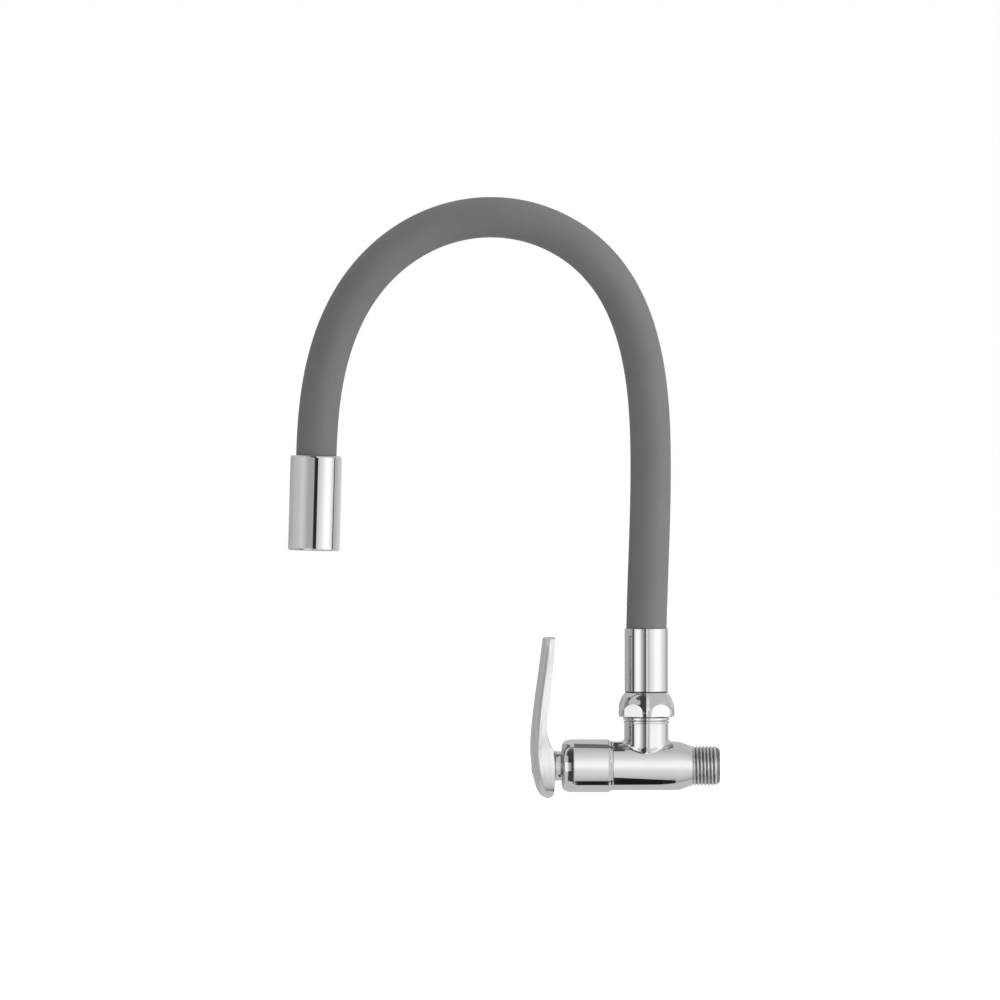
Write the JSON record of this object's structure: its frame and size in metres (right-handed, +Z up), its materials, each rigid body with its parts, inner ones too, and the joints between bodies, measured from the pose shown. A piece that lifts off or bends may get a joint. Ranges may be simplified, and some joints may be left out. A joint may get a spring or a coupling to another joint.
{
  "type": "wall-mounted gooseneck tap",
  "caption": "Chrome wall tap with a quarter-turn lever, a swivel nut, a stay-put gooseneck spout in a grey silicone sleeve and a cylindrical spray head.",
  "frame": {"origin": "centre of the end face of the valve's threaded inlet, on the valve's axis", "axes": "+X out of the inlet along the valve's axis, into what it is screwed to; +Z up, along the spout's swivel axis; the lever is at -X"},
  "size_m": [0.2227, 0.0306, 0.3101],
  "materials": {
    "valve_body": "polished chrome plate on brass",
    "bonnet_cap": "polished chrome plate on brass",
    "cartridge_housing": "machined brass",
    "housing_gasket": "black rubber",
    "seat_seal": "black rubber",
    "fixed_disc": "lapped ceramic",
    "slip_washer": "polished chrome plate on brass",
    "swivel_nut": "polished chrome plate on brass",
    "turning_disc": "lapped ceramic",
    "spindle": "machined brass",
    "spindle_o_ring_1": "black rubber",
    "spindle_o_ring_2": "black rubber",
    "spindle_clip": "plain stainless steel",
    "lever_handle": "polished chrome plate on brass",
    "handle_screw": "plain stainless steel",
    "handle_plug": "polished chrome plate on brass",
    "swivel_spigot": "machined brass",
    "spigot_o_ring_1": "black rubber",
    "spigot_o_ring_2": "black rubber",
    "slip_ring": "white plastic",
    "lower_ferrule": "polished chrome plate on brass",
    "lower_core_collar": "machined brass",
    "lower_crimp_sleeve": "plain stainless steel",
    "gooseneck_core_1": "plain stainless steel",
    "water_tube": "white plastic",
    "silicone_sleeve": "matt grey silicone",
    "gooseneck_core_2": "plain stainless steel",
    "gooseneck_core_3": "plain stainless steel",
    "gooseneck_core_4": "plain stainless steel",
    "gooseneck_core_5": "plain stainless steel",
    "gooseneck_core_6": "plain stainless steel",
    "head_shell": "polished chrome plate on brass",
    "upper_core_collar": "machined brass",
    "upper_hose_tail": "machined brass",
    "upper_crimp_sleeve": "plain stainless steel",
    "aerator_seal": "black rubber",
    "aerator_housing": "grey plastic",
    "flow_regulator": "white plastic",
    "aerator_screen_1": "plain stainless steel",
    "aerator_screen_2": "plain stainless steel",
    "outlet_grid": "grey plastic"
  },
  "bodies": {
    "valve": {"valve_body": "valve_body", "bonnet_cap": "bonnet_cap", "cartridge_housing": "cartridge_housing", "housing_gasket": "housing_gasket", "seat_seal": "seat_seal", "fixed_disc": "fixed_disc", "slip_washer": "slip_washer", "swivel_nut": "swivel_nut"},
    "handle": {"turning_disc": "turning_disc", "spindle": "spindle", "spindle_o_ring_1": "spindle_o_ring_1", "spindle_o_ring_2": "spindle_o_ring_2", "spindle_clip": "spindle_clip", "lever_handle": "lever_handle", "handle_screw": "handle_screw", "handle_plug": "handle_plug"},
    "spout_base": {"swivel_spigot": "swivel_spigot", "spigot_o_ring_1": "spigot_o_ring_1", "spigot_o_ring_2": "spigot_o_ring_2", "slip_ring": "slip_ring", "lower_ferrule": "lower_ferrule", "lower_core_collar": "lower_core_collar", "lower_crimp_sleeve": "lower_crimp_sleeve", "gooseneck_core_1": "gooseneck_core_1", "water_tube": "water_tube", "silicone_sleeve": "silicone_sleeve"},
    "neck_riser": {"gooseneck_core_2": "gooseneck_core_2"},
    "neck_shoulder": {"gooseneck_core_3": "gooseneck_core_3"},
    "neck_crown": {"gooseneck_core_4": "gooseneck_core_4"},
    "neck_drop": {"gooseneck_core_5": "gooseneck_core_5"},
    "spray_end": {"gooseneck_core_6": "gooseneck_core_6", "head_shell": "head_shell", "upper_core_collar": "upper_core_collar", "upper_hose_tail": "upper_hose_tail", "upper_crimp_sleeve": "upper_crimp_sleeve", "aerator_seal": "aerator_seal", "aerator_housing": "aerator_housing", "flow_regulator": "flow_regulator", "aerator_screen_1": "aerator_screen_1", "aerator_screen_2": "aerator_screen_2", "outlet_grid": "outlet_grid"}
  },
  "joints": [
    {"name": "handle_turn", "type": "hinge", "parent": "valve", "child": "handle", "pos_m": [-0.0816, 0, 0], "axis": [-1, 0, 0], "range_deg": [0, 90]},
    {"name": "spout_swivel", "type": "hinge", "parent": "valve", "child": "spout_base", "pos_m": [-0.0377, 0, 0.0384], "axis": [0, 0, 1], "continuous": true},
    {"name": "neck_side_lean", "type": "hinge", "parent": "spout_base", "child": "neck_riser", "pos_m": [-0.03644, 0, 0.11088], "axis": [1, 0, 0], "range_deg": [-20, 20], "deforming": ["silicone_sleeve", "water_tube"]},
    {"name": "neck_fore_bend", "type": "hinge", "parent": "neck_riser", "child": "neck_shoulder", "pos_m": [-0.03575, 0, 0.17086], "axis": [0, 1, 0], "range_deg": [-12, 25], "deforming": ["silicone_sleeve", "water_tube"]},
    {"name": "neck_crown_bend", "type": "hinge", "parent": "neck_shoulder", "child": "neck_crown", "pos_m": [-0.09693, 0, 0.28012], "axis": [0, 1, 0], "range_deg": [-12, 25], "deforming": ["silicone_sleeve", "water_tube"]},
    {"name": "neck_drop_bend", "type": "hinge", "parent": "neck_crown", "child": "neck_drop", "pos_m": [-0.18188, 0, 0.25156], "axis": [0, 1, 0], "range_deg": [-20, 20], "deforming": ["silicone_sleeve", "water_tube"]},
    {"name": "neck_drop_side", "type": "hinge", "parent": "neck_drop", "child": "spray_end", "pos_m": [-0.20445, 0, 0.19878], "axis": [0.9836, 0, -0.1804], "range_deg": [-20, 20], "deforming": ["silicone_sleeve", "water_tube"]}
  ]
}
